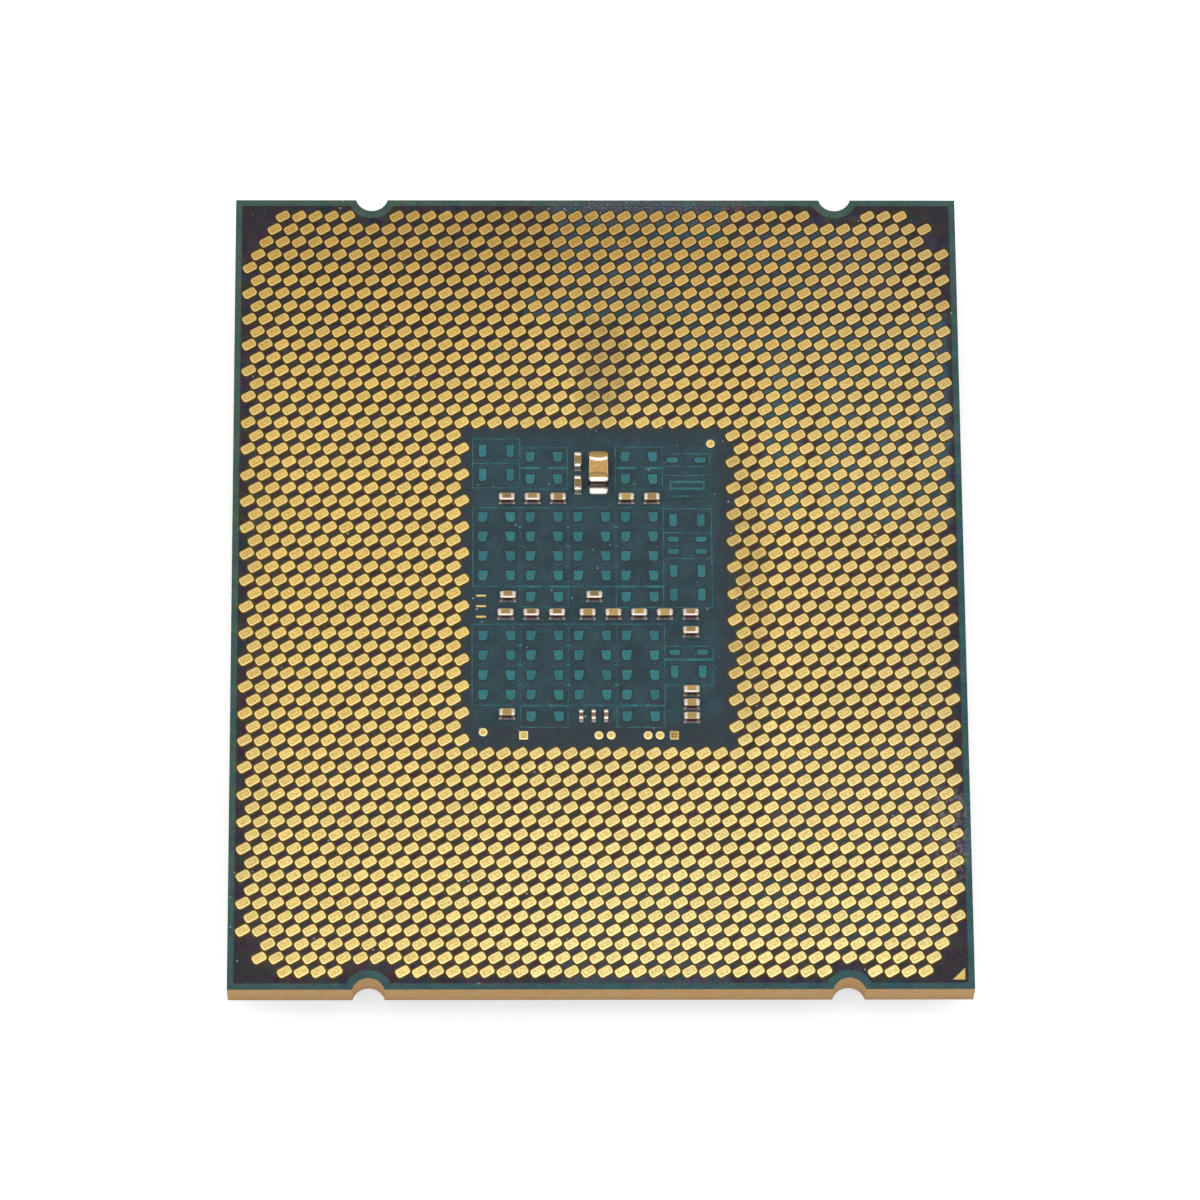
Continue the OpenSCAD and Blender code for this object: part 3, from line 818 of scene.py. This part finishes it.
def run_shape(name, tree, mesh, material, seed=1, **sizes):
    """Runs a tree on a mesh and returns the result as a plain mesh. Lengths are given in millimetres."""
    maker = bpy.data.objects.new(name, mesh)
    show(maker)
    modifier = maker.modifiers.new("shape", "NODES")
    modifier.node_group = tree
    values = {label.replace("_", " "): size for label, size in sizes.items()}
    values.update({"Seed": seed, "Material": material})
    for item in tree.interface.items_tree:
        if item.in_out == "INPUT" and item.name in values:
            is_length = getattr(item, "subtype", "") == "DISTANCE"
            modifier[item.identifier] = values[item.name] * MM if is_length else values[item.name]
    depsgraph = bpy.context.evaluated_depsgraph_get()
    made = bpy.data.meshes.new_from_object(
        maker.evaluated_get(depsgraph), preserve_all_data_layers=True, depsgraph=depsgraph)
    maker.modifiers.remove(modifier)
    bpy.data.objects.remove(maker)
    return made


def plates(name, places, material, seed, width, length, radius, cuts, thick, rim, drop, **foot):
    """Plates at the places. Their foot is as wide and as round as their top, unless it is given."""
    foot = {"Bottom_Width": width, "Foot_Radius": radius, "Lean": 0.0, **foot}
    return run_shape(name, PLATE, points_mesh(name, places), material, seed, Top_Width=width, Length=length,
                     Corner_Radius=radius, Corner_Cuts=cuts, Thickness=thick,
                     Rim_Width=rim, Rim_Drop=drop, **foot)


def piece(name, meshes, slot, *stands_for):
    """Joins meshes into one piece that rides on the package and stands for the named nodes."""
    joined = bpy.data.objects.new(name, meshes[0])
    show(joined)
    if len(meshes) > 1:
        others = [bpy.data.objects.new(name + "_part", m) for m in meshes[1:]]
        for o in others:
            show(o)
        with bpy.context.temp_override(active_object=joined, selected_editable_objects=[joined, *others]):
            bpy.ops.object.join()
    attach(joined, "root")
    if stands_for:
        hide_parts(*stands_for)


# Lands
def land_places():
    """The lattice sites of each land field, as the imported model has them."""
    fields = {"north_lands": [], "south_lands": [], "west_lands": [], "east_lands": []}
    for row in range(LAND_ROWS):
        y = ((LAND_ROWS - 1) / 2 - row) * ROW_PITCH
        end_row = min(row, LAND_ROWS - 1 - row)
        gap = CORNER_GAPS[end_row] if end_row < len(CORNER_GAPS) else 0
        for column in range(LAND_COLUMNS):
            x = (column - (LAND_COLUMNS - 1) / 2 + (0.25 if row % 2 else -0.25)) * COLUMN_PITCH
            if min(column, LAND_COLUMNS - 1 - column) < gap:
                continue
            if min(math.hypot(x - nx, y - ny) for nx, ny in NOTCH_CENTRES) <= NOTCH_KEEPOUT:
                continue
            if abs(y) > WINDOW_HALF_L:
                field = "north_lands" if y > 0 else "south_lands"
            elif abs(x) > WINDOW_HALF_W:
                field = "west_lands" if x < 0 else "east_lands"
            else:
                continue
            fields[field].append((x, y, LAND_SIDE, LAND_TURN))
    return fields


LAND_PLACES = land_places()
for seed, (field, places) in enumerate(LAND_PLACES.items(), start=3):
    lands = plates(field, places, GOLD_LAND, seed, LAND_L, LAND_W, LAND_R,
                   cuts=3, thick=LAND_T, rim=0.06, drop=0.006)
    piece(field.replace("lands", "land_field"), [lands], "gold", field)


# Openings in the mask: bare brown resin round each land, cut where neighbouring openings meet
OPENING = 0.09
OPENING_T = 0.004
OPENING_GAP = 0.004
meet = (COLUMN_PITCH - OPENING_GAP) / 2
open_l = LAND_L + 2 * OPENING
open_w = LAND_W + 2 * OPENING
end_side = 2 * (meet - math.cos(LAND_TURN) * open_l / 2) / math.sin(LAND_TURN)
long_side = 2 * (meet - math.sin(LAND_TURN) * open_w / 2) / math.cos(LAND_TURN)
for field, places in LAND_PLACES.items():
    openings = run_shape(field, OPENING_PLATE, points_mesh(field, places), BARE_RESIN,
                         Length=open_l, Width=open_w, End_Side=end_side, Long_Side=long_side,
                         Thickness=OPENING_T)
    piece(field.replace("lands", "mask_openings"), [openings], "laminate")


# Bare gold test points and a plain three-bar mark
def gold_plates(name, places, material, seed, width, length, radius, cuts=1):
    at = [(x, y, LAND_SIDE, 0.0) for x, y in places]
    return plates(name, at, material, seed, width, length, radius, cuts, thick=LAND_T, rim=0.05, drop=0.008)


POINT_ROW_Y = -9.83
ROUND_POINTS = [(7, 9.58), (-7.08, -9.62)] + [(x, POINT_ROW_Y) for x in (-0.03, 0.72, 2.97, 3.7)]
SQUARE = (TEST_POINT, TEST_POINT, SQUARE_R)
piece("window_test_points", [
    gold_plates("round_points", ROUND_POINTS, GOLD_DOT, 11, TEST_POINT, TEST_POINT, TEST_POINT / 2, cuts=5),
    gold_plates("left_square", [(-4.62, POINT_ROW_Y)], GOLD_SQUARE, 12, *SQUARE),
    gold_plates("right_square", [(4.57, POINT_ROW_Y)], PROBED_SQUARE, 14, *SQUARE),
], "gold", "test_points")
BAR_L = 0.62
BAR_W = 0.13
BAR_PLACES = [(-7.2, y) for y in (-0.6, -1.3, -2.0)]
piece("three_bar_mark", [gold_plates("bars", BAR_PLACES, GOLD_PLAIN, 13, BAR_L, BAR_W, SQUARE_R)], "gold")


# Empty capacitor sites: pairs of masked pads with their slanted sides facing
PAD_T = 0.02
# Thickness and width of the dark ring of painted shade round each pad
PAD_SHADE_T = 0.008
PAD_SHADE_W = 0.08
SITE_PITCH = 2.933
FIRST_SITE_X = -6.24
PAD_SPAN = 1.71
SITE_ROW_PITCH = 1.305
BLOCK_TOPS = (4.65, -3.25)
BLOCK_ROWS = 4
INNER_ROW_DROP = 1.42


def pads(name, columns, rows, top, bottom, length, seed, gap=0.0):
    """Left and right pads of the sites in these columns and rows, or the dark ring of painted shade that lies
    round them.
    """
    made = []
    material, thick, drop = (PAD_SHADE, PAD_SHADE_T, 0.004) if gap else (MASKED_PAD, PAD_T, 0.006)
    for side in (-1, 1):
        off = side * (PAD_SPAN / 2 + (top - bottom) / 4)
        at = [(FIRST_SITE_X + c * SITE_PITCH + off, y, LAND_SIDE, 0.0) for c in columns for y in rows]
        made.append(plates(name, at, material, seed + side, top + 2 * gap, length + 2 * gap, radius=0.05,
                           cuts=3, thick=thick, rim=0.03, drop=drop, Bottom_Width=bottom + 2 * gap,
                           Foot_Radius=0.17, Lean=-side * (top - bottom) / 2))
    return made


block_rows = [top - i * SITE_ROW_PITCH for top in BLOCK_TOPS for i in range(BLOCK_ROWS)]
inner_rows = [8.7, 7.2] + [top - (BLOCK_ROWS - 1) * SITE_ROW_PITCH - INNER_ROW_DROP for top in BLOCK_TOPS]
PAD_GROUPS = [
    ("block_pads", range(4), block_rows, 0.6, 0.5, 0.65, 20),
    ("inner_pads", (1, 3), inner_rows, 0.6, 0.5, 0.65, 23),
    ("left_pads", (0,), (9.1, 7.48), 0.46, 0.46, 0.82, 26),
    ("tall_pads", (4,), (4.43, 1.03, -0.55, -5.65), 0.46, 0.46, 0.82, 29),
    ("low_pads", (4,), (8.47, 3.15, 2.33, -4.37), 0.7, 0.7, 0.34, 32),
]
piece("masked_pads", [m for group in PAD_GROUPS for m in pads(*group)], "masked_pad", "empty_pads")
# The dark rings round the pads are painted shade
piece("pad_shade_rings", [m for group in PAD_GROUPS for m in pads(*group, gap=PAD_SHADE_W)], "laminate")


# Lines in the mask round the groups of sites, as runs of points
def level_line(x0, x1, y):
    return [(x0, y), (x1, y)]


def side_line(x0, x1, y0, y1):
    """Frame without its side at x0."""
    return [(x0, y0), (x1, y0), (x1, y1), (x0, y1)]


def cup_line(x0, x1, y0, y1):
    """Frame without its side at y0."""
    return [(x0, y0), (x0, y1), (x1, y1), (x1, y0)]


def frame_line(x0, x1, y0, y1):
    return side_line(x0, x1, y0, y1) + [(x0, y0)]


SITE_LINES_X = (-4.8, -1.85, 1.1)
DASH_L = 0.26
THIN_LINES = [
    frame_line(-7.7, -4.8, 6.6, 9.9), level_line(-7.7, -4.8, 8.25), side_line(-4.8, -1.85, 9.3, 6.5),
    frame_line(1.1, 4.0, 6.5, 9.35), frame_line(-7.7, 4.03, 0.0, 5.27), frame_line(-7.75, 4.03, -7.85, -2.5),
    cup_line(-4.8, -1.85, 0.0, -1.35), cup_line(1.1, 4.0, 0.0, -1.4),
    cup_line(-4.8, -1.9, -7.85, -9.3), cup_line(1.1, 4.0, -7.85, -9.3),
    side_line(4.05, 6.95, 8.9, 8.05), level_line(4.05, 7.1, 7.45), level_line(4.05, 6.9, 6.05),
    side_line(4.05, 7.0, 5.2, -1.4), level_line(4.05, 7.0, 3.6), level_line(4.05, 7.0, 1.87),
    side_line(4.05, 7.0, -3.97, -6.55),
]
FAINT_LINES = [[(x, y0), (x, y1)] for y0, y1 in ((0.0, 5.27), (-7.85, -2.5)) for x in SITE_LINES_X]
THICK_LINES = [level_line(4.05, 6.95, -4.85), frame_line(4.5, 6.55, 6.55, 7.0)]
THICK_LINES += [level_line(x, x + 1.15, y) for y in (7.94, 0.0, -7.88) for x in (-4.7, -3.05, 1.2, 2.83)]
DASHES = [level_line(x - DASH_L / 2, x + DASH_L / 2, top - (i + 0.5) * SITE_ROW_PITCH)
          for x in SITE_LINES_X for top in BLOCK_TOPS for i in range(BLOCK_ROWS - 1)]


def mask_lines(name, runs, material, width, height):
    """Strips along the runs, wider at each corner so that the mitre keeps their width."""
    verts, edges, mitres = [], [], []
    for run in runs:
        start = len(verts)
        closed = run[0] == run[-1]
        corners = run[:-1] if closed else run
        verts += [Vector((x, y, LAND_SIDE)) * MM for x, y in corners]
        bends = [2 ** 0.5] * len(corners)
        if not closed:
            bends[0] = bends[-1] = 1.0
        mitres += bends
        edges += [(start + i, start + i + 1) for i in range(len(corners) - 1)]
        if closed:
            edges.append((start + len(corners) - 1, start))
    mesh = bpy.data.meshes.new(name)
    mesh.from_pydata(verts, edges, [])
    mesh.attributes.new("mitre", "FLOAT", "POINT").data.foreach_set("value", mitres)
    return run_shape(name, LINE, mesh, material, Width=width, Height=height)


piece("mask_lines", [
    mask_lines("thin_lines", THIN_LINES, MASK_LINE, 0.06, 0.012),
    mask_lines("faint_lines", FAINT_LINES, FAINT_LINE, 0.06, 0.009),
    mask_lines("thick_lines", THICK_LINES, BOLD_LINE, 0.15, 0.015),
    mask_lines("dashes", DASHES, MASK_LINE, 0.13, 0.011),
], "masked_pad")


# Capacitors: ceramic bodies, metal ends, solder and seats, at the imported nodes' places and sizes
capacitor_nodes = sorted(n for n in nodes if "capacitor" in n and n != "capacitor_solder")
groups = {}
for node_name in capacitor_nodes:
    low, high = (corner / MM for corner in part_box(node_name))
    size = high - low
    upright = size.y > size.x
    length, width = (size.y, size.x) if upright else (size.x, size.y)
    key = (round(length, 3), round(width, 3), round(size.z, 3), upright)
    middle = (low + high) / 2
    groups.setdefault(key, []).append((middle.x, middle.y))

# For each kind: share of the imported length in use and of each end, the end's bow, swell and edge radius,
# and the solder's reach and climb, as shares of the width or height
END_FORMS = {
    "small": dict(whole=1.0, share=0.3, bow=0.02, swell=0.18, edge=0.2, splits=0, reach=0.1, climb=0.3),
    "chip": dict(whole=0.955, share=0.24, bow=0.03, swell=0.18, edge=0.2, splits=0, reach=0.2, climb=0.5),
    "large": dict(whole=1.0, share=0.27, bow=0.12, swell=0.16, edge=0.09, splits=4, reach=0.34, climb=0.13),
}
BODY_EDGE = 0.04

bodies, ends, fillets, seats = [], [], [], []
for seed, ((length, width, height, upright), spots) in enumerate(sorted(groups.items())):
    kind = "large" if height > 1 else "small" if height < 0.4 else "chip"
    form = END_FORMS[kind]
    turn = math.pi / 2 if upright else 0.0
    length = form["whole"] * length
    reach = form["share"] * length
    at_middle = [(x, y, LAND_SIDE + height / 2, turn) for x, y in spots]
    tin = LARGE_TIN if kind == "large" else END_TIN
    ends.append(run_shape("ends", END, points_mesh("ends", at_middle), tin, 40 + seed,
                          Length=length, Width=width, Height=height, Edge=form["edge"] * height,
                          Reach=reach, Bow=form["bow"] * width, Swell=form["swell"], Splits=form["splits"]))

    # The ceramic is slightly slimmer than its ends, and runs to the middle of each
    slimmer = 2 * (0.03 * height + 0.005)
    ceramic = CERAMICS["upright" if upright and kind == "chip" else kind]
    bodies.append(run_shape("bodies", BLOCK, points_mesh("bodies", at_middle), ceramic, 50 + seed,
                            Length=length - reach, Width=width - slimmer, Height=height - slimmer,
                            Edge=BODY_EDGE))
    feet = []
    for x, y in spots:
        for way in (turn, turn + math.pi):
            feet.append((x + math.cos(way) * length / 2, y + math.sin(way) * length / 2, LAND_SIDE, way))
    fillets.append(run_shape("fillets", FILLET, points_mesh("fillets", feet), SOLDER, 60 + seed,
                             Width=width, Reach=form["reach"] * height, Climb=form["climb"] * height))
    seat_l, seat_w = (length + 0.24, width - 0.04) if upright else (length + 0.06, width + 0.16)
    seats.append(plates("seats", [(x, y, LAND_SIDE, turn) for x, y in spots], SEAT, 70 + seed, seat_l, seat_w,
                        radius=0.05, cuts=2, thick=PAD_T, rim=0.03, drop=0.008))
piece("capacitor_bodies", bodies, "ceramic", *capacitor_nodes)
piece("capacitor_ends", ends, "solder")
piece("capacitor_fillets", fillets, "solder", "capacitor_solder")
piece("capacitor_seats", seats, "solder")


# Pale floor and soft studio light, in metres and watts
def seen_rays(n):
    """1 where the camera looks, also by way of gloss or clear matter, and 0 for what only gives light."""
    ray = n.add("ShaderNodeLightPath").outputs
    passed_on = n.math("MAXIMUM", ray["Is Glossy Ray"], ray["Is Transmission Ray"])
    return n.math("MAXIMUM", ray["Is Camera Ray"], passed_on)


def make_floor():
    bpy.ops.mesh.primitive_plane_add(size=6)
    floor = bpy.context.object
    floor.name = "studio_floor"
    material = bpy.data.materials.new("pale_floor")
    material.use_nodes = True
    n = Nodes(material.node_tree)
    n.tree.nodes.remove(n.tree.nodes["Principled BSDF"])
    matte = n.out("ShaderNodeBsdfDiffuse", {"Color": (0.86, 0.86, 0.86, 1)})
    lift = n.out("ShaderNodeEmission", {"Color": (1, 1, 1, 1), "Strength": n.times(seen_rays(n), 0.45)})
    total = n.out("ShaderNodeAddShader", {0: matte, 1: lift})
    n.put(n.tree.nodes["Material Output"].inputs["Surface"], total)
    floor.data.materials.append(material)


def make_world():
    """Soft dome, bright overhead and dim at the horizon, which is seen as white."""
    world = bpy.data.worlds.new("studio")
    world.use_nodes = True
    bpy.context.scene.world = world
    n = Nodes(world.node_tree)
    up = n.xyz(n.tree.nodes.new("ShaderNodeTexCoord").outputs["Generated"])["Z"]
    dome = n.times(n.math("POWER", n.math("MAXIMUM", up, 0.0), 1.5), 0.5)
    white = n.times(seen_rays(n), n.math("LESS_THAN", up, 0.2))
    background = n.tree.nodes["Background"].inputs
    n.put(background["Color"], (1, 1, 1, 1))
    n.put(background["Strength"], n.math("MAXIMUM", n.plus(dome, 0.5), white))


def softbox(name, place, aim, width, height, power):
    data = bpy.data.lights.new(name, "AREA")
    data.shape = "RECTANGLE"
    data.size = width
    data.size_y = height
    data.energy = power
    lamp = bpy.data.objects.new(name, data)
    lamp.location = place
    lamp.rotation_euler = (Vector(aim) - Vector(place)).to_track_quat("-Z", "Y").to_euler()
    show(lamp)


make_floor()
make_world()
softbox("overhead_softbox", (0.0, -0.2, 0.88), (0.0, 0.0, 0.0), 0.9, 0.72, 1.9)
softbox("front_softbox", (-0.2, -0.75, 0.75), (0.0, 0.0, 0.0), 0.4, 0.25, 0.6)

bpy.context.scene.view_settings.view_transform = "Standard"
